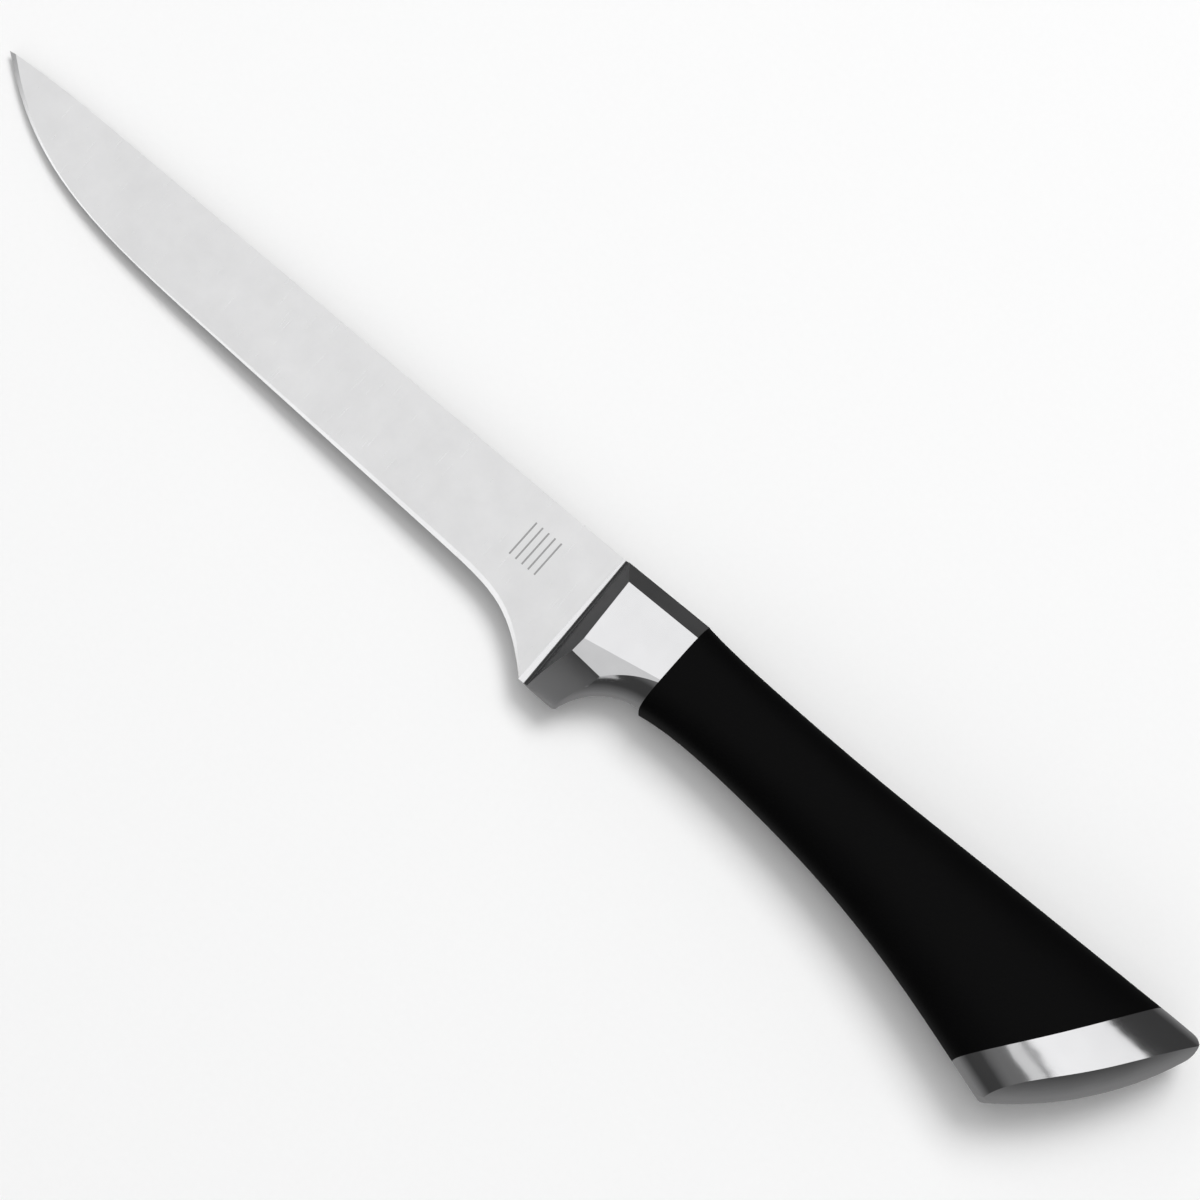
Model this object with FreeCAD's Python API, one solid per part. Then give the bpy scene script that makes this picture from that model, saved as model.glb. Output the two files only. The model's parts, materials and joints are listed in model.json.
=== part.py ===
import FreeCAD
import Part
import math
import os

from FreeCAD import Vector

# Boning knife: a flat-ground blade, a solid bolster and a tang fused end to end, a soft grip moulded over a
# rigid core, and a hollow steel end cap. Lengths are millimetres.
#
# Every piece is drawn in one drawing frame: x runs back from the blade's tip, y is up from the spine line,
# and z is measured from the knife's middle plane. place() then moves the knife so that it lies on its side,
# with the origin under its centre, the tip towards -X and the spine towards +Y.

# ---- blade -----------------------------------------------------------------------------------------------
BLADE_LENGTH = 152.0          # tip to bolster
HEEL_DEPTH = 28.9             # spine to heel corner
TIP_DROP = 1.0                # tip below the spine line
TIP_DROP_START = 22.0         # where the spine begins to fall to the tip
BELLY_END = Vector(58.0, -17.15, 0.0)
BELLY_TIP_ANGLE = -37.0       # direction of the edge at the tip, degrees
BELLY_REACH = (20.4, 28.2)    # how far the belly holds its direction, at the tip and at the straight run
HEEL_START = Vector(124.0, -19.2, 0.0)
HEEL_ANGLE = -42.0            # direction of the edge at the heel corner, degrees
HEEL_REACH = (14.0, 13.4)
HALF_AT_SPINE = 1.15          # half thickness at the bolster, on the spine
HALF_AT_HEEL = 0.15           # half thickness at the heel corner
HALF_MID_EDGE = 0.20          # half thickness above the honed bevel, at MID_EDGE
MID_EDGE = Vector(75.0, -17.7, 0.0)
HONE_ANGLE = 25.0             # honed bevel against the middle plane, degrees
HONE_REACH = 1.6              # how far the honing tool reaches into the blade

# ---- bolster ---------------------------------------------------------------------------------------------
BOLSTER_LENGTH = 20.4
BOLSTER_HALF = 7.0            # at the grip; the face falls towards the blade
FACE_FRONT = Vector(156.0, -3.5, 5.6)     # front corner of the face, at the bevel on the back
FACE_REAR = Vector(172.4, -3.5, BOLSTER_HALF)
BACK_EDGE = Vector(172.4, 0.0, 3.6)       # where that bevel meets the back, at the grip
FACET_FRONT = Vector(156.5, -16.7, 5.64)  # line where the face breaks to the lower facet
FACET_REAR = Vector(172.4, -13.7, BOLSTER_HALF)
FACET_LOW = Vector(172.4, -15.6, 6.64)    # a point down the facet
RAMP_RADIUS = 1.5             # hollow at the foot of the ramp
RAMP_ANGLE = 54.5             # ramp against the blade, degrees
RAMP_SKEW = 0.03              # sideways lean of the ramp, per millimetre of depth
GUARD_FRONT = Vector(BLADE_LENGTH, -HEEL_DEPTH, 0.0)
GUARD_BOTTOM = -29.1
GUARD_CORNER_RADIUS = 1.3
GUARD_HOLLOW_TOP = Vector(156.0, -19.6, 5.05)         # upper and lower limits of the guard's hollow side
GUARD_HOLLOW_FOOT = Vector(156.0, GUARD_BOTTOM, 0.95)
GUARD_HOLLOW_RADIUS = 30.0
GUARD_HOLLOW_RISE = 0.08      # the hollow opens towards the grip, per millimetre
FINGER_CENTRE = Vector(173.5, -32.2, 0.0)
FINGER_RADIUS = 13.4
FINGER_ROUNDING = 7.5         # rounding of the finger hollow's wall, through the thickness

# ---- handle ----------------------------------------------------------------------------------------------
GRIP_START = BLADE_LENGTH + BOLSTER_LENGTH
SEAM_ENDS = (Vector(255.0, -30.4, 0.0), Vector(276.6, 0.2, 0.0))
SEAM_BOW = 0.7                # the seam bulges this far towards the butt
BUTT_CENTRE = Vector(225.9, 19.2, 0.0)
BUTT_RADIUS = 64.1
BUTT_DOME_RADIUS = 16.0
NOSE_RADIUS = 3.0             # rounding of the butt's upper corner, in the middle plane
TOP_AT_NOSE = 0.42
HEEL_RADIUS = 4.0             # rounding of its lower corner
UNDERSIDE = (Vector(254.0, -30.35, 0.0), Vector(266.0, -33.85, 0.0))   # the underside's line at that corner
GRIP_WALL = 2.1
CAP_WALL = 1.6
SECTION_POLES = 32

# Handle sections: x, y at the spine side, y at the edge side, half thickness, squareness
STATIONS = (
    (GRIP_START, 0.15, -19.6, 7.5, 3.4),
    (179.0, -0.4, -18.9, 7.5, 3.1),
    (192.0, -0.85, -19.1, 7.7, 2.8),
    (208.0, -1.0, -20.4, 8.2, 2.6),
    (226.0, -0.75, -23.1, 8.8, 2.6),
    (244.0, -0.3, -27.4, 9.5, 2.6),
    (260.0, 0.05, -32.1, 9.9, 2.6),
    (274.0, 0.4, -36.0, 9.8, 2.6),
    (290.0, 0.45, -40.0, 9.4, 2.6),
)

GROOVE_START = 184.0          # rings that key the soft grip to the core
GROOVE_PITCH = 13.0
GROOVE_COUNT = 5
GROOVE_WIDTH = 3.0
GROOVE_DEPTH = 0.9

# ---- tang and fastenings ---------------------------------------------------------------------------------
TANG_Y = -9.7                 # centre line of the tang and its rod
TANG_HEIGHT = 10.0
TANG_THICKNESS = 3.0
TANG_END = 204.0
ROD_RADIUS = 3.0
ROD_START = 192.0
ROD_END = 266.5
ROD_CHAMFER = 0.6
THREAD_START = 250.0
THREAD_PITCH = 1.0
THREAD_DEPTH = 0.54
WELD_RADIUS = 1.2
WELD_CENTRE = (2.9, 1.7)      # y and z from the rod's axis
WELD_ENDS = (194.0, 202.0)
TUNNEL_HEIGHT = 11.4
TUNNEL_WIDTH = 6.8
TUNNEL_END = 206.0
ROD_TUNNEL_RADIUS = 3.8
RESIN_END = 246.0
NUT_SEAT = 256.0
WASHER_RADIUS = 6.0
WASHER_THICKNESS = 1.6
LOCK_WASHER_RADIUS = 5.2
LOCK_WASHER_THICKNESS = 1.6
LOCK_WASHER_SPLIT = 0.8
NUT_ACROSS_FLATS = 10.0
NUT_HEIGHT = 5.0
ROD_CLEARANCE = 0.1
POCKET_RADIUS = 6.6
STUD_RADIUS = 1.6
STUD_AT = (-23.5, 4.2)        # y, and z to each side
STUD_START = 255.0

REACH = 400.0                 # size of a cutting block
SURVEY_TOLERANCE = 0.05       # fineness of the points that measure the finished knife
UP = Vector(0, 0, 1)


# ---- helpers ---------------------------------------------------------------------------------------------
def heading(degrees):
    return Vector(math.cos(math.radians(degrees)), math.sin(math.radians(degrees)), 0)


def line(a, b):
    return Part.LineSegment(a, b).toShape()


def bezier(*poles):
    curve = Part.BezierCurve()
    curve.setPoles(list(poles))
    return curve.toShape()


def prism(outline, half):
    """Extrudes a closed outline in the xy plane to both sides of the middle plane."""
    face = Part.Face(outline)
    face.translate(UP * -half)
    return face.extrude(UP * 2 * half)


def polygon(*corners):
    return Part.makePolygon(list(corners) + [corners[0]])


def block(x, y, z):
    """A box given by its (low, high) limits along each axis."""
    return Part.makeBox(x[1] - x[0], y[1] - y[0], z[1] - z[0], Vector(x[0], y[0], z[0]))


def bar(radius, start, end, y=TANG_Y, z=0.0):
    """A round bar along x."""
    return Part.makeCylinder(radius, end - start, Vector(start, y, z), Vector(1, 0, 0))


def beyond(point, normal):
    """A block that fills the side of a plane its normal points to."""
    side = Part.makeBox(REACH, REACH, REACH, Vector(-REACH / 2, -REACH / 2, 0))
    side.Placement = FreeCAD.Placement(point, FreeCAD.Rotation(UP, normal))
    return side


def above(a, b, c):
    """A block on the upper side of the plane through three points."""
    normal = (b - a).cross(c - a)
    return beyond(a, normal * math.copysign(1, normal.z))


def cut_both_sides(solid, *tools):
    for tool in tools:
        solid = solid.cut(tool).cut(tool.mirror(Vector(0, 0, 0), UP))
    return solid


def round_corner(centre, radius, first, second):
    """Tool for a vertical corner: what lies outside an arc, between its two touching directions."""
    reach = radius * 4
    a = first * reach
    b = second * reach
    corner = polygon(centre, centre + a, centre + a + b, centre + b)
    pin = Part.makeCylinder(radius, REACH, centre - UP * REACH / 2)
    return prism(Part.Wire(corner), REACH / 4).cut(pin)


def ring_tool(centre, outline):
    """Revolves an outline drawn in the xz plane about the vertical line through the centre."""
    face = Part.Face(outline)
    face.translate(centre)
    return face.revolve(centre, UP, 360)


# ---- blade -----------------------------------------------------------------------------------------------
def ground_plane():
    """A point and the normal of the blade's ground side."""
    down = (HALF_AT_SPINE - HALF_AT_HEEL) / HEEL_DEPTH
    mid_spine_half = HALF_MID_EDGE - down * MID_EDGE.y
    back = (HALF_AT_SPINE - mid_spine_half) / (BLADE_LENGTH - MID_EDGE.x)
    return Vector(BLADE_LENGTH, 0, HALF_AT_SPINE), Vector(-back, -down, 1).normalize()


def edge_line():
    """The cutting edge from the tip to the heel corner."""
    tip = Vector(0, -TIP_DROP, 0)
    run = (HEEL_START - BELLY_END).normalize()
    belly_lead = tip + heading(BELLY_TIP_ANGLE) * BELLY_REACH[0]
    belly = bezier(tip, belly_lead, BELLY_END - run * BELLY_REACH[1], BELLY_END)
    heel_lead = GUARD_FRONT - heading(HEEL_ANGLE) * HEEL_REACH[1]
    heel = bezier(HEEL_START, HEEL_START + run * HEEL_REACH[0], heel_lead, GUARD_FRONT)
    return [belly, line(BELLY_END, HEEL_START), heel]


def spine_line():
    """The spine from the bolster to the tip: straight, then a shallow arc."""
    radius = (TIP_DROP_START ** 2 + TIP_DROP ** 2) / (2 * TIP_DROP)
    start = Vector(TIP_DROP_START, 0, 0)
    centre = start - Vector(0, radius, 0)
    half_way = math.degrees(math.asin(TIP_DROP_START / radius)) / 2
    middle = centre + heading(90 + half_way) * radius
    fall = Part.Arc(start, middle, Vector(0, -TIP_DROP, 0)).toShape()
    return [line(Vector(BLADE_LENGTH, 0, 0), start), fall]


def hone_tool():
    """Sweeps the waste above the honed bevel along the edge, a little past both ends."""
    tip = Vector(0, -TIP_DROP, 0)
    lead = heading(BELLY_TIP_ANGLE)
    start = tip - lead * HONE_REACH
    path = [line(start, tip)] + edge_line() + [line(GUARD_FRONT, GUARD_FRONT + heading(HEEL_ANGLE))]
    inward = UP.cross(lead)
    height = UP * HONE_REACH * math.tan(math.radians(HONE_ANGLE))
    outer = start - inward * HONE_REACH
    profile = polygon(start, start + inward * HONE_REACH + height, outer + height, outer)
    return Part.Wire(path).makePipeShell([profile], True, False)


def make_blade():
    back = line(GUARD_FRONT, Vector(BLADE_LENGTH, 0, 0))
    blank = prism(Part.Wire(edge_line() + [back] + spine_line()), HALF_AT_SPINE * 2)
    return cut_both_sides(blank, beyond(*ground_plane()), hone_tool())


# ---- bolster ---------------------------------------------------------------------------------------------
def ramp_tool():
    """Waste above the ramp that rises from the blade to the bolster's face."""
    foot = Vector(BLADE_LENGTH, 0, HALF_AT_SPINE)
    angle = math.radians(RAMP_ANGLE)

    def on_hollow(turn):
        return foot + Vector(math.sin(turn), 0, 1 - math.cos(turn)) * RAMP_RADIUS

    top = on_hollow(angle) + Vector(math.cos(angle), 0, math.sin(angle)) * BOLSTER_HALF * 2
    hollow = Part.Arc(foot, on_hollow(angle / 2), on_hollow(angle)).toShape()
    front = foot - Vector(BOLSTER_HALF, 0, 0)
    corner = Vector(front.x, 0, top.z)
    outline = Part.Wire([hollow, line(on_hollow(angle), top), line(top, corner), line(corner, front),
                         line(front, foot)])
    normal = ground_plane()[1]
    along = Vector(RAMP_SKEW, -1, normal.y / normal.z)
    face = Part.Face(outline)
    face.translate(along * -BOLSTER_HALF)
    return face.extrude(along * (HEEL_DEPTH + 2 * BOLSTER_HALF))


def guard_hollow_tool():
    """A long cylinder that hollows the guard's side between its upper and lower limits."""
    chord = GUARD_HOLLOW_TOP - GUARD_HOLLOW_FOOT
    along = Vector(1, 0, GUARD_HOLLOW_RISE).normalize()
    outward = along.cross(chord).normalize()
    reach = math.sqrt(GUARD_HOLLOW_RADIUS ** 2 - (chord.Length / 2) ** 2)
    centre = (GUARD_HOLLOW_TOP + GUARD_HOLLOW_FOOT) / 2 + outward * reach
    length = BOLSTER_LENGTH * 4
    return Part.makeCylinder(GUARD_HOLLOW_RADIUS, length, centre - along * length / 2, along)


def finger_tool():
    """The finger hollow: a pin whose wall is rounded outwards above and below the middle plane."""
    half = BOLSTER_HALF + 0.2
    crown = FINGER_RADIUS + FINGER_ROUNDING
    rim = crown - math.sqrt(FINGER_ROUNDING ** 2 - half ** 2)
    wall = Part.Arc(Vector(rim, 0, -half), Vector(FINGER_RADIUS, 0, 0), Vector(rim, 0, half)).toShape()
    top = line(Vector(rim, 0, half), Vector(0, 0, half))
    axis = line(Vector(0, 0, half), Vector(0, 0, -half))
    bottom = line(Vector(0, 0, -half), Vector(rim, 0, -half))
    return ring_tool(FINGER_CENTRE, Part.Wire([wall, top, axis, bottom]))


def guard_corner_tool():
    rise = GUARD_BOTTOM + GUARD_CORNER_RADIUS
    span = FINGER_RADIUS + GUARD_CORNER_RADIUS
    back = math.sqrt(span ** 2 - (rise - FINGER_CENTRE.y) ** 2)
    centre = Vector(FINGER_CENTRE.x - back, rise, 0)
    return round_corner(centre, GUARD_CORNER_RADIUS, Vector(0, -1, 0), (FINGER_CENTRE - centre).normalize())


def make_bolster():
    bolster = block((BLADE_LENGTH, GRIP_START), (GUARD_BOTTOM, 0), (-BOLSTER_HALF, BOLSTER_HALF))
    face = above(FACE_FRONT, FACE_REAR, FACET_REAR)
    back_bevel = above(FACE_FRONT, FACE_REAR, BACK_EDGE)
    facet = above(FACET_FRONT, FACET_REAR, FACET_LOW)
    bolster = cut_both_sides(bolster, face, back_bevel, facet, guard_hollow_tool(), ramp_tool())
    return bolster.cut(finger_tool()).cut(guard_corner_tool())


# ---- handle ----------------------------------------------------------------------------------------------
def section(x, top, bottom, half, squareness):
    """A closed superellipse across the handle, as a spline whose poles stand a little outside it."""
    centre = (top + bottom) / 2
    outside = 3 / (2 + math.cos(2 * math.pi / SECTION_POLES))
    height = (top - bottom) / 2 * outside
    width = half * outside
    poles = []
    for step in range(SECTION_POLES):
        turn = 2 * math.pi * step / SECTION_POLES
        c = math.copysign(abs(math.cos(turn)) ** (2 / squareness), math.cos(turn))
        s = math.copysign(abs(math.sin(turn)) ** (2 / squareness), math.sin(turn))
        poles.append(Vector(x, centre + height * c, width * s))
    curve = Part.BSplineCurve()
    curve.buildFromPoles(poles, True, 3)
    return Part.Wire(curve.toShape())


def handle_form(inset):
    """The handle's outer form, moved inwards, before the butt is shaped."""
    wires = [section(x, top - inset, bottom + inset, half - inset, square)
             for x, top, bottom, half, square in STATIONS]
    return Part.makeLoft(wires, True)


def butt_form(inset):
    """Everything in front of the domed butt."""
    rim = BUTT_RADIUS - inset
    dome = BUTT_DOME_RADIUS - inset
    half = dome * 0.8
    shoulder = rim - dome + math.sqrt(dome ** 2 - half ** 2)
    face = Part.Arc(Vector(shoulder, 0, -half), Vector(rim, 0, 0), Vector(shoulder, 0, half)).toShape()
    top = line(Vector(shoulder, 0, half), Vector(0, 0, half))
    axis = line(Vector(0, 0, half), Vector(0, 0, -half))
    bottom = line(Vector(0, 0, -half), Vector(shoulder, 0, -half))
    return ring_tool(BUTT_CENTRE, Part.Wire([face, top, axis, bottom]))


def butt_corner(radius, inset, side):
    """Tool that rounds the corner between the butt and a side, given by a point and its outward normal."""
    point, outward = side
    span = BUTT_RADIUS - inset - radius
    depth = (point - BUTT_CENTRE).dot(outward) - inset - radius
    run = Vector(-outward.y, outward.x, 0) * math.copysign(1, -outward.y)
    centre = BUTT_CENTRE + outward * depth + run * math.sqrt(span ** 2 - depth ** 2)
    return round_corner(centre, radius, outward, (centre - BUTT_CENTRE).normalize())


def shaped_handle(inset):
    """The handle with its domed butt and the butt's two rounded corners."""
    top = (Vector(0, TOP_AT_NOSE, 0), Vector(0, 1, 0))
    run = (UNDERSIDE[1] - UNDERSIDE[0]).normalize()
    below = (UNDERSIDE[0], Vector(run.y, -run.x, 0))
    nose = butt_corner(NOSE_RADIUS - inset / 2, inset, top)
    heel = butt_corner(HEEL_RADIUS - inset, inset, below)
    return handle_form(inset).common(butt_form(inset)).cut(nose).cut(heel)


def seam_form():
    """Everything in front of the seam between the grip and the end cap."""
    a, b = SEAM_ENDS
    half_chord = (b - a).Length / 2
    radius = (half_chord ** 2 + SEAM_BOW ** 2) / (2 * SEAM_BOW)
    rearward = (b - a).cross(UP).normalize()
    centre = (a + b) / 2 - rearward * (radius - SEAM_BOW)
    return Part.makeCylinder(radius, REACH / 4, centre - UP * REACH / 8)


def grooves():
    """Rings to be cut from the core so that the soft grip keys into it."""
    rings = []
    for index in range(GROOVE_COUNT):
        start = GROOVE_START + index * GROOVE_PITCH
        rings.append(block((start, start + GROOVE_WIDTH), (-60, 20), (-20, 20)))
    return Part.makeCompound(rings).cut(handle_form(GRIP_WALL + GROOVE_DEPTH))


def studs():
    y, z = STUD_AT
    bars = [bar(STUD_RADIUS, STUD_START, STUD_START + 40, y, side * z) for side in (-1, 1)]
    cavity = shaped_handle(CAP_WALL)
    return Part.makeCompound([one.common(cavity).Solids[0] for one in bars])


def tang_block(end, height, width):
    """A block centred on the tang's line, from the bolster back to the given end."""
    y = (TANG_Y - height / 2, TANG_Y + height / 2)
    return block((GRIP_START, end), y, (-width / 2, width / 2))


def tunnel():
    """The room inside the core for the tang and its rod."""
    front = tang_block(TUNNEL_END, TUNNEL_HEIGHT, TUNNEL_WIDTH)
    return front.fuse(bar(ROD_TUNNEL_RADIUS, TUNNEL_END, NUT_SEAT))


def make_tang():
    plate = tang_block(TANG_END, TANG_HEIGHT, TANG_THICKNESS)
    return plate.cut(bar(ROD_RADIUS, ROD_START, TANG_END))


def make_rod():
    """A rod with a chamfered end and a ring-grooved thread."""
    outline = [Vector(ROD_START, 0, 0), Vector(ROD_START, ROD_RADIUS, 0)]
    outline.append(Vector(THREAD_START, ROD_RADIUS, 0))
    turns = int((ROD_END - ROD_CHAMFER - THREAD_START) / THREAD_PITCH)
    for index in range(turns):
        root = THREAD_START + (index + 0.5) * THREAD_PITCH
        outline.append(Vector(root, ROD_RADIUS - THREAD_DEPTH, 0))
        outline.append(Vector(root + THREAD_PITCH / 2, ROD_RADIUS, 0))
    outline.append(Vector(ROD_END, ROD_RADIUS - ROD_CHAMFER, 0))
    outline.append(Vector(ROD_END, 0, 0))
    rod = Part.Face(polygon(*outline)).revolve(Vector(0, 0, 0), Vector(1, 0, 0), 360)
    rod.translate(Vector(0, TANG_Y, 0))
    return rod


def make_welds():
    """Four beads that join the rod to the tang's fork."""
    beads = []
    for y in (-1, 1):
        for z in (-1, 1):
            bead = bar(WELD_RADIUS, *WELD_ENDS, TANG_Y + y * WELD_CENTRE[0], z * WELD_CENTRE[1])
            plate = make_tang().fuse(bar(ROD_RADIUS, ROD_START, TANG_END))
            beads.append(bead.cut(plate).Solids[0])
    return Part.makeCompound(beads)


def make_resin():
    hollow = tunnel().cut(bar(POCKET_RADIUS, RESIN_END, NUT_SEAT))
    filled = hollow.cut(make_tang()).cut(bar(ROD_RADIUS, ROD_START, RESIN_END))
    return filled.cut(make_welds())


def make_core():
    pocket = bar(POCKET_RADIUS, NUT_SEAT, NUT_SEAT + 60)
    core = shaped_handle(GRIP_WALL).cut(grooves())
    return core.cut(tunnel()).cut(pocket).cut(studs())


def make_grip():
    return handle_form(0).common(seam_form()).cut(handle_form(GRIP_WALL).cut(grooves()))


def make_cap():
    return shaped_handle(0).cut(seam_form()).cut(shaped_handle(CAP_WALL))


def make_adhesive():
    layer = shaped_handle(CAP_WALL).cut(seam_form()).cut(shaped_handle(GRIP_WALL))
    return layer.cut(studs())


def washer(radius, start, thickness):
    hole = bar(ROD_RADIUS + ROD_CLEARANCE, start, start + thickness)
    return bar(radius, start, start + thickness).cut(hole)


def make_lock_washer():
    start = NUT_SEAT + WASHER_THICKNESS
    ring = washer(LOCK_WASHER_RADIUS, start, LOCK_WASHER_THICKNESS)
    half = LOCK_WASHER_SPLIT / 2
    split = block((start - 1, start + 3), (TANG_Y, TANG_Y + LOCK_WASHER_RADIUS + 1), (-half, half))
    return ring.cut(split)


def make_nut():
    start = NUT_SEAT + WASHER_THICKNESS + LOCK_WASHER_THICKNESS
    corner = NUT_ACROSS_FLATS / 2 / math.cos(math.pi / 6)
    corners = []
    for index in range(6):
        turn = math.pi / 3 * index
        corners.append(Vector(start, TANG_Y + corner * math.cos(turn), corner * math.sin(turn)))
    body = Part.Face(polygon(*corners)).extrude(Vector(NUT_HEIGHT, 0, 0))
    return body.cut(bar(ROD_RADIUS + ROD_CLEARANCE, start, start + NUT_HEIGHT))


PIECES = {
    "blade": make_blade,
    "bolster": make_bolster,
    "tang": make_tang,
    "tang_rod": make_rod,
    "tang_welds": make_welds,
    "tang_washer": lambda: washer(WASHER_RADIUS, NUT_SEAT, WASHER_THICKNESS),
    "lock_washer": make_lock_washer,
    "tang_nut": make_nut,
    "potting_resin": make_resin,
    "handle_core": make_core,
    "grip_sleeve": make_grip,
    "end_cap": make_cap,
    "cap_adhesive": make_adhesive,
    "cap_studs": studs,
}


def place(shapes):
    """Centres the knife over the origin, resting on the plane z = 0."""
    whole = FreeCAD.BoundBox()
    for shape in shapes.values():
        for point in shape.tessellate(SURVEY_TOLERANCE)[0]:
            whole.add(point)
    shift = Vector(-whole.Center.x, -whole.Center.y, -whole.ZMin)
    for shape in shapes.values():
        shape.translate(shift)


os.makedirs("parts", exist_ok=True)
knife = {name: make() for name, make in PIECES.items()}
place(knife)
for name, shape in knife.items():
    shape.exportStep(f"parts/{name}.step")
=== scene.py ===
import json
import math

import bmesh
import bpy
from mathutils import Matrix, Vector


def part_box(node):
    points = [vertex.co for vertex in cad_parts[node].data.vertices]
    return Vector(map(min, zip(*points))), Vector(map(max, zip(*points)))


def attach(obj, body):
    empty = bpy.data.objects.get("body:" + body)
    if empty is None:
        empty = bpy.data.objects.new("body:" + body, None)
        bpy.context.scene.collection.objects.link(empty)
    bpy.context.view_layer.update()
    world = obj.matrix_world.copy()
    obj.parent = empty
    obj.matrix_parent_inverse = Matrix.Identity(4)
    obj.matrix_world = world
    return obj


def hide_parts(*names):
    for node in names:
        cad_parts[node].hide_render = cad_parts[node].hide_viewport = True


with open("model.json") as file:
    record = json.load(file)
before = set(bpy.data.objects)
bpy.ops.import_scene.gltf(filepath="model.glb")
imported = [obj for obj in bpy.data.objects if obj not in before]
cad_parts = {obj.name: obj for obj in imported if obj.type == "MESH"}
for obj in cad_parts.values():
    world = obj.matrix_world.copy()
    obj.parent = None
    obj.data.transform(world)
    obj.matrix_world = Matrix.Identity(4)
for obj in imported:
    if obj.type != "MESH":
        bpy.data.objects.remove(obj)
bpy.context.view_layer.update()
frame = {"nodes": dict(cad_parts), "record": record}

MM = 0.001
NODES = frame["nodes"]
scene = bpy.context.scene

# ---- landmarks, all worked out from the frame -------------------------------------------------------------
BLADE_LOW, BLADE_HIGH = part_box("blade")
TIP = Vector((BLADE_LOW[0], BLADE_HIGH[1], (BLADE_LOW[2] + BLADE_HIGH[2]) / 2))
HEEL_TOP = Vector((BLADE_HIGH[0], BLADE_HIGH[1], TIP.z))

# A generic etched mark: plain bars across the blade, near the heel
MARK_OFFSET = Vector((-13.5, -9.0, 0.0)) * MM
MARK_PITCH = 1.5 * MM
MARK_LINE = 0.34 * MM
MARK_HALF_LENGTH = 3.7 * MM
MARK_HALF_WIDTH = 3.8 * MM

# The camera looks down at the knife, leaning towards the picture's lower edge.
LENS = 110.0
CAMERA_DISTANCE = 663.5 * MM
CAMERA_LEAN = math.radians(14.0)
KNIFE_TURN = math.radians(41.05)         # blade's direction below the picture's right
LOOK_AT = TIP + Vector((153.5, -8.4, 0.0)) * MM


def knife_plane(right, down):
    """A direction in the knife's plane, from picture directions."""
    c = math.cos(KNIFE_TURN)
    s = math.sin(KNIFE_TURN)
    return Vector((right * c + down * s, right * s - down * c, 0.0))


def add_camera():
    down = knife_plane(0, 1)
    right = knife_plane(1, 0)
    up = Vector((0, 0, 1))
    place = LOOK_AT + (up * math.cos(CAMERA_LEAN) + down * math.sin(CAMERA_LEAN)) * CAMERA_DISTANCE
    back = (place - LOOK_AT).normalized()
    camera = bpy.data.objects.new("camera", bpy.data.cameras.new("camera"))
    camera.data.lens = LENS
    camera.data.clip_start = 0.01
    above = back.cross(right)
    turn = Matrix((right, above, back)).transposed()
    camera.matrix_world = Matrix.Translation(place) @ turn.to_4x4()
    scene.collection.objects.link(camera)
    scene.camera = camera


# ---- node helpers -----------------------------------------------------------------------------------------
class Graph:
    """The node tree of a material or a world, with short calls for the few nodes used here."""

    def __init__(self, owner, shader="Principled BSDF"):
        owner.use_nodes = True
        self.owner = owner
        self.tree = owner.node_tree
        self.shader = self.tree.nodes[shader]

    def add(self, kind):
        return self.tree.nodes.new(kind)

    def link(self, source, target):
        self.tree.links.new(source, target)

    def place(self, scale, shift=(0.0, 0.0, 0.0)):
        """Object coordinates, stretched along each axis and then moved."""
        mapping = self.add("ShaderNodeMapping")
        mapping.inputs["Scale"].default_value = scale
        mapping.inputs["Location"].default_value = shift
        self.link(self.add("ShaderNodeTexCoord").outputs["Object"], mapping.inputs["Vector"])
        return mapping.outputs["Vector"]

    def noise(self, scale, where, detail=4.0, roughness=0.6):
        node = self.add("ShaderNodeTexNoise")
        node.inputs["Scale"].default_value = scale
        node.inputs["Detail"].default_value = detail
        node.inputs["Roughness"].default_value = roughness
        self.link(where, node.inputs["Vector"])
        return node.outputs["Fac"]

    def span(self, value, low, high, source=(0.0, 1.0)):
        node = self.add("ShaderNodeMapRange")
        node.inputs["From Min"].default_value = source[0]
        node.inputs["From Max"].default_value = source[1]
        node.inputs["To Min"].default_value = low
        node.inputs["To Max"].default_value = high
        self.link(value, node.inputs["Value"])
        return node.outputs["Result"]

    def math(self, operation, *values):
        node = self.add("ShaderNodeMath")
        node.operation = operation
        for socket, value in zip(node.inputs, values):
            if isinstance(value, float):
                socket.default_value = value
            else:
                self.link(value, socket)
        return node.outputs["Value"]

    def blend(self, factor, first, second):
        """Mixes two colours, each a constant or another node's output."""
        node = self.add("ShaderNodeMix")
        node.data_type = "RGBA"
        self.link(factor, node.inputs["Factor"])
        colour_inputs = [socket for socket in node.inputs if socket.type == "RGBA"]
        for socket, colour in zip(colour_inputs, (first, second)):
            if isinstance(colour, tuple):
                socket.default_value = (*colour, 1.0)
            else:
                self.link(colour, socket)
        return next(socket for socket in node.outputs if socket.type == "RGBA")

    def bump(self, height, distance, strength=0.5):
        node = self.add("ShaderNodeBump")
        node.inputs["Strength"].default_value = strength
        node.inputs["Distance"].default_value = distance
        self.link(height, node.inputs["Height"])
        return node.outputs["Normal"]


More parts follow.
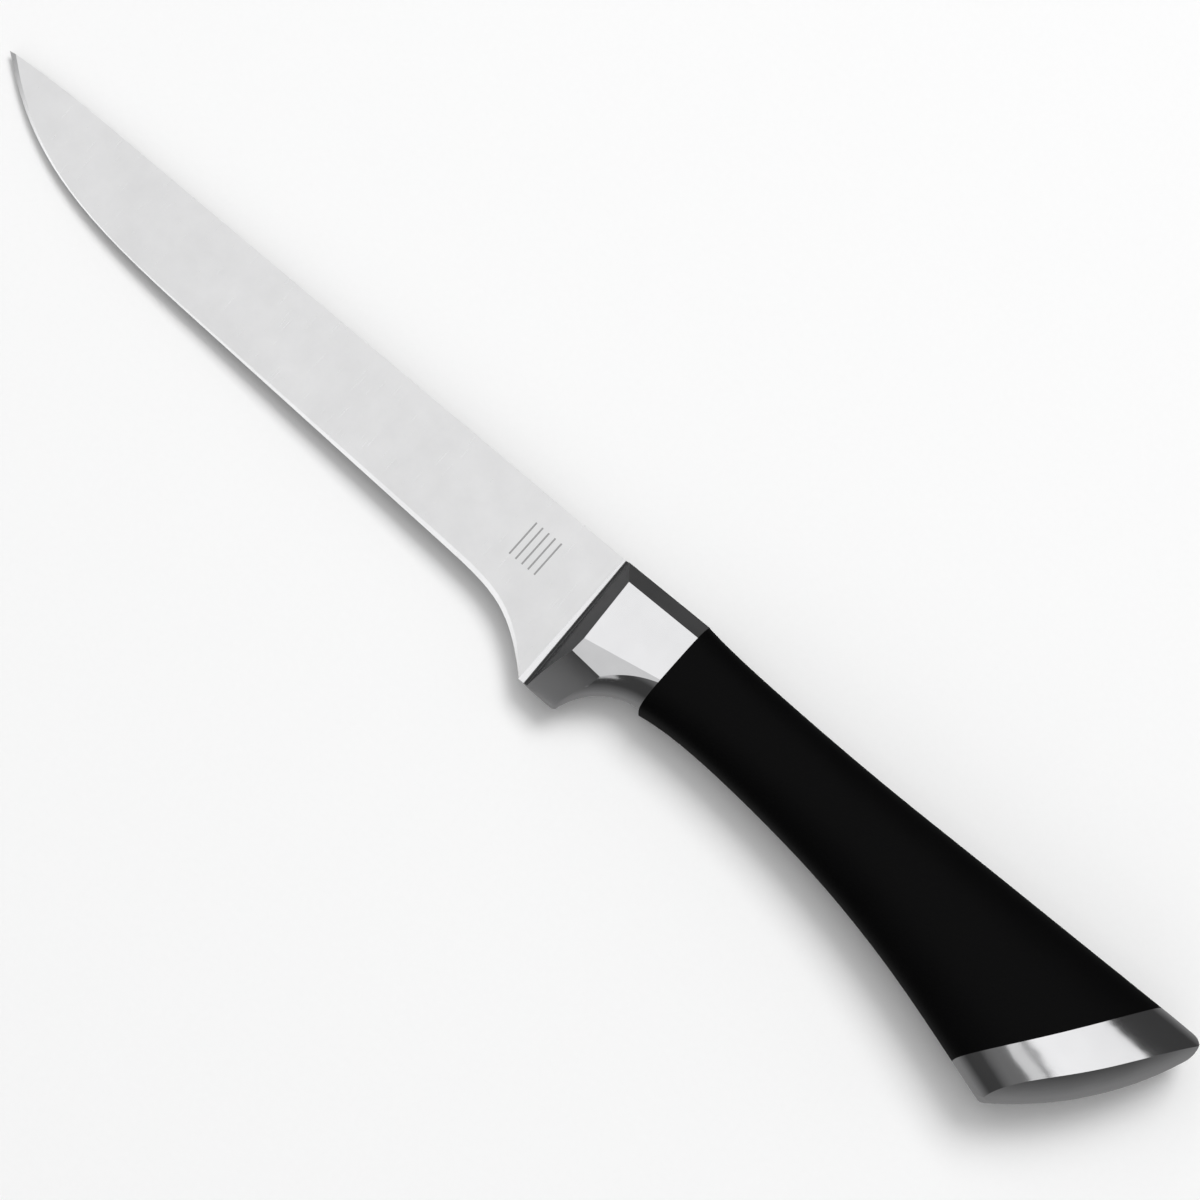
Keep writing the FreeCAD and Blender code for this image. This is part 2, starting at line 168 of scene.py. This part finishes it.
# ---- materials --------------------------------------------------------------------------------------------
def etched_mark(g):
    """A few plain parallel bars near the heel, on the upper side: 1 where the steel is etched."""
    centre = NODES["blade"].matrix_world.inverted() @ (HEEL_TOP + MARK_OFFSET)
    axes = g.add("ShaderNodeSeparateXYZ")
    g.link(g.place((1.0, 1.0, 1.0), -centre), axes.inputs["Vector"])
    along = g.math("ABSOLUTE", axes.outputs["X"])
    across = g.math("ABSOLUTE", axes.outputs["Y"])
    bars = g.math("LESS_THAN", g.math("PINGPONG", along, MARK_PITCH / 2), MARK_LINE / 2)
    inside = g.math("LESS_THAN", along, MARK_HALF_LENGTH)
    inside = g.math("MULTIPLY", inside, g.math("LESS_THAN", across, MARK_HALF_WIDTH))
    upper = g.math("GREATER_THAN", axes.outputs["Z"], 0.0)
    return g.math("MULTIPLY", upper, g.math("MULTIPLY", inside, bars))


def ground_steel():
    """Satin steel with fine grinding marks that run across the blade."""
    g = Graph(bpy.data.materials.new("ground_steel"))
    marks = g.noise(1.0, g.place((5200.0, 150.0, 150.0)), detail=3.0)
    clouds = g.noise(130.0, g.place((1.0, 1.0, 1.0)), detail=5.0)
    tone = g.blend(g.span(clouds, 0.0, 1.0, (0.3, 0.7)), (0.74, 0.74, 0.745), (0.79, 0.79, 0.795))
    g.link(g.blend(etched_mark(g), tone, (0.36, 0.36, 0.36)), g.shader.inputs["Base Color"])
    g.link(g.span(marks, 0.25, 0.33), g.shader.inputs["Roughness"])
    g.link(g.bump(marks, 0.00001, 0.12), g.shader.inputs["Normal"])
    g.shader.inputs["Metallic"].default_value = 1.0
    return g.owner


def polished_steel():
    g = Graph(bpy.data.materials.new("polished_steel"))
    smear = g.noise(160.0, g.place((1.0, 1.0, 1.0)), detail=5.0)
    lines = g.noise(1.0, g.place((500.0, 9000.0, 9000.0)), detail=2.0)
    waves = g.noise(70.0, g.place((1.0, 1.0, 1.0)), detail=2.0)
    g.link(g.blend(smear, (0.71, 0.71, 0.72), (0.79, 0.79, 0.8)), g.shader.inputs["Base Color"])
    g.link(g.span(lines, 0.1, 0.18), g.shader.inputs["Roughness"])
    g.link(g.bump(waves, 0.0004, 0.5), g.shader.inputs["Normal"])
    g.shader.inputs["Metallic"].default_value = 1.0
    return g.owner


def turned_steel():
    g = Graph(bpy.data.materials.new("turned_steel"))
    lines = g.noise(1.0, g.place((6000.0, 200.0, 200.0)), detail=2.0)
    g.link(g.blend(lines, (0.42, 0.42, 0.43), (0.56, 0.56, 0.57)), g.shader.inputs["Base Color"])
    g.link(g.span(lines, 0.28, 0.45), g.shader.inputs["Roughness"])
    g.shader.inputs["Metallic"].default_value = 1.0
    return g.owner


def weld_bead():
    g = Graph(bpy.data.materials.new("weld_bead"))
    ripples = g.noise(1.0, g.place((2500.0, 300.0, 300.0)), detail=3.0)
    g.link(g.blend(ripples, (0.12, 0.11, 0.11), (0.34, 0.31, 0.28)), g.shader.inputs["Base Color"])
    g.link(g.span(ripples, 0.4, 0.65), g.shader.inputs["Roughness"])
    g.link(g.bump(ripples, 0.0003), g.shader.inputs["Normal"])
    g.shader.inputs["Metallic"].default_value = 1.0
    return g.owner


def soft_grip():
    """Black moulded elastomer with the faint grain of a blasted mould."""
    g = Graph(bpy.data.materials.new("soft_grip"))
    grain = g.noise(6000.0, g.place((1.0, 1.0, 1.0)), detail=2.0)
    wear = g.noise(90.0, g.place((1.0, 1.0, 1.0)), detail=4.0)
    g.link(g.blend(wear, (0.0012, 0.0012, 0.0013), (0.0022, 0.0022, 0.0023)), g.shader.inputs["Base Color"])
    g.link(g.span(wear, 0.5, 0.62), g.shader.inputs["Roughness"])
    g.link(g.bump(grain, 0.00003, 0.3), g.shader.inputs["Normal"])
    g.shader.inputs["Specular IOR Level"].default_value = 0.08
    return g.owner


def core_plastic():
    g = Graph(bpy.data.materials.new("core_plastic"))
    grain = g.noise(1500.0, g.place((1.0, 1.0, 1.0)))
    g.link(g.blend(grain, (0.03, 0.03, 0.033), (0.05, 0.05, 0.054)), g.shader.inputs["Base Color"])
    g.link(g.span(grain, 0.45, 0.6), g.shader.inputs["Roughness"])
    return g.owner


def cast_resin():
    g = Graph(bpy.data.materials.new("cast_resin"))
    cloud = g.noise(250.0, g.place((1.0, 1.0, 1.0)))
    g.link(g.blend(cloud, (0.35, 0.24, 0.1), (0.55, 0.4, 0.2)), g.shader.inputs["Base Color"])
    g.link(g.span(cloud, 0.15, 0.3), g.shader.inputs["Roughness"])
    return g.owner


def studio_floor():
    g = Graph(bpy.data.materials.new("studio_floor"))
    paper = g.noise(900.0, g.place((1.0, 1.0, 1.0)), detail=2.0)
    g.link(g.blend(paper, (0.93, 0.93, 0.93), (0.95, 0.95, 0.95)), g.shader.inputs["Base Color"])
    g.link(g.span(paper, 0.75, 0.9), g.shader.inputs["Roughness"])
    g.shader.inputs["Specular IOR Level"].default_value = 0.1
    return g.owner


SLOT_MATERIALS = {
    "blade_steel": ground_steel(),
    "polished_steel": polished_steel(),
    "plain_steel": turned_steel(),
    "weld_metal": weld_bead(),
    "grip_black": soft_grip(),
    "core_plastic": core_plastic(),
    "resin": cast_resin(),
}


SLOT_OF = {part["node"]: part["material_slot"] for part in frame["record"]["subparts"]}


def dress_cad_nodes():
    for node, slot in SLOT_OF.items():
        mesh = NODES[node].data
        mesh.materials.clear()
        mesh.materials.append(SLOT_MATERIALS[slot])


# ---- softened edges -------------------------------------------------------------------------------------
SAME_POINT = 0.002 * MM
FLAT_ENOUGH = math.radians(0.3)
SHARP_ENOUGH = math.radians(9.5)


def soften(node, width):
    """Stands a copy of a steel piece in for its CAD node, with its sharp edges slightly rounded."""
    source = NODES[node]
    mesh = source.data.copy()
    form = bmesh.new()
    form.from_mesh(mesh)
    bmesh.ops.remove_doubles(form, verts=form.verts, dist=SAME_POINT)
    bmesh.ops.dissolve_limit(form, angle_limit=FLAT_ENOUGH, verts=form.verts, edges=form.edges)
    form.to_mesh(mesh)
    form.free()
    if "custom_normal" in mesh.attributes:
        mesh.attributes.remove(mesh.attributes["custom_normal"])
    mesh.shade_smooth()
    piece = bpy.data.objects.new(node + "_polished", mesh)
    piece.matrix_world = source.matrix_world
    scene.collection.objects.link(piece)
    rounding = piece.modifiers.new("rounding", "BEVEL")
    rounding.width = width
    rounding.segments = 3
    rounding.angle_limit = SHARP_ENOUGH
    rounding.harden_normals = True
    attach(piece, "root")
    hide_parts(node)


# ---- floor ------------------------------------------------------------------------------------------------
def lowest_point(node, rise):
    """The lowest vertex of a node against a plane that rises along x."""
    return min((v.co for v in NODES[node].data.vertices), key=lambda co: co.z - co.x * rise)


def add_floor():
    """The table under the knife, which rests on its end cap and its bolster."""
    rise = 0.0
    for _ in range(4):
        cap = lowest_point("end_cap", rise)
        bolster = lowest_point("bolster", rise)
        rise = (cap.z - bolster.z) / (cap.x - bolster.x)
    mesh = bpy.data.meshes.new("floor")
    form = bmesh.new()
    bmesh.ops.create_grid(form, x_segments=8, y_segments=8, size=3.0)
    form.to_mesh(mesh)
    form.free()
    floor = bpy.data.objects.new("floor", mesh)
    floor.matrix_world = Matrix.Translation(cap) @ Matrix.Rotation(-math.atan(rise), 4, "Y")
    scene.collection.objects.link(floor)
    mesh.materials.append(studio_floor())
    floor.visible_glossy = False


# ---- light ------------------------------------------------------------------------------------------------
HORIZON = (-0.8, -0.1)                   # heights on the unit sphere between which the greys change
GLOW_TOWARDS = (0.0, -0.35, 0.94)
GLOW_EDGE = (0.78, 0.96)                 # cosines at the glow's edge and at its full strength


def add_softbox(name, back, distance, size, radiance, in_reflections=True):
    """An area light seen from the knife in the direction back, with its length along x."""
    back = back.normalized()
    across = back.cross(Vector((1, 0, 0))).normalized()
    turn = Matrix((across.cross(back), across, back)).transposed()
    light = bpy.data.lights.new(name, "AREA")
    light.shape = "RECTANGLE"
    light.size = size[0]
    light.size_y = size[1]
    light.energy = radiance * math.pi * size[0] * size[1]
    lamp = bpy.data.objects.new(name, light)
    lamp.matrix_world = Matrix.Translation(LOOK_AT + back * distance) @ turn.to_4x4()
    lamp.visible_glossy = in_reflections
    scene.collection.objects.link(lamp)
    return lamp


def overhead(right, down):
    """A direction that leans from straight up towards the picture's right and lower edge."""
    return knife_plane(right, down) + Vector((0, 0, 1))


def add_windows(count, height, radiance):
    """Low panes on the diagonals: they show in the steel from the sides and the back."""
    for index in range(count):
        azimuth = 2 * math.pi * (index + 0.5) / count
        back = Vector((math.cos(azimuth), math.sin(azimuth), height))
        add_softbox(f"window_{index}", back, 2.5, (1.5, 1.3), radiance)


def shine_only_on(lamp, node):
    receivers = bpy.data.collections.new(lamp.name + "_receivers")
    receivers.objects.link(NODES[node])
    lamp.light_linking.receiver_collection = receivers


def add_surroundings(above, below, glow):
    """A dim room: one grey above, a lighter one below, and a soft glow beyond the knife's edge side."""
    g = Graph(bpy.data.worlds.new("studio"), "Background")
    direction = g.add("ShaderNodeTexCoord").outputs["Generated"]
    axes = g.add("ShaderNodeSeparateXYZ")
    g.link(direction, axes.inputs["Vector"])
    level = g.span(axes.outputs["Z"], below, above, HORIZON)
    towards = g.add("ShaderNodeVectorMath")
    towards.operation = "DOT_PRODUCT"
    towards.inputs[1].default_value = GLOW_TOWARDS
    g.link(direction, towards.inputs[0])
    patch = g.span(towards.outputs["Value"], 0.0, glow, GLOW_EDGE)
    g.link(g.math("ADD", level, patch), g.shader.inputs["Strength"])
    g.shader.inputs["Color"].default_value = (1.0, 1.0, 1.0, 1.0)
    scene.world = g.owner


# ---- the scene ------------------------------------------------------------------------------------------
add_camera()
dress_cad_nodes()
add_floor()
soften("bolster", 0.16 * MM)
add_surroundings(above=0.05, below=0.22, glow=0.12)
add_softbox("key", overhead(0.42, -0.4), 2.5, (1.1, 1.1), 7.7, in_reflections=False)
add_softbox("fill", overhead(0.1, -0.1), 2.0, (3.0, 3.0), 0.44, in_reflections=False)
add_softbox("low_fill", overhead(-0.5, 1.0), 2.0, (2.0, 2.0), 0.5, in_reflections=False)
add_softbox("main_box", Vector((-0.16, 0.28, 1.0)), 1.5, (2.0, 0.9), 1.0)
add_softbox("side_box", Vector((-0.16, -0.18, 1.0)), 1.5, (2.0, 0.34), 0.6)
shine_only_on(add_softbox("edge_strip", Vector((-0.16, -0.63, 0.76)), 1.4, (2.4, 0.5), 1.3), "blade")
add_windows(4, 0.42, 0.5)
scene.view_settings.view_transform = "Standard"
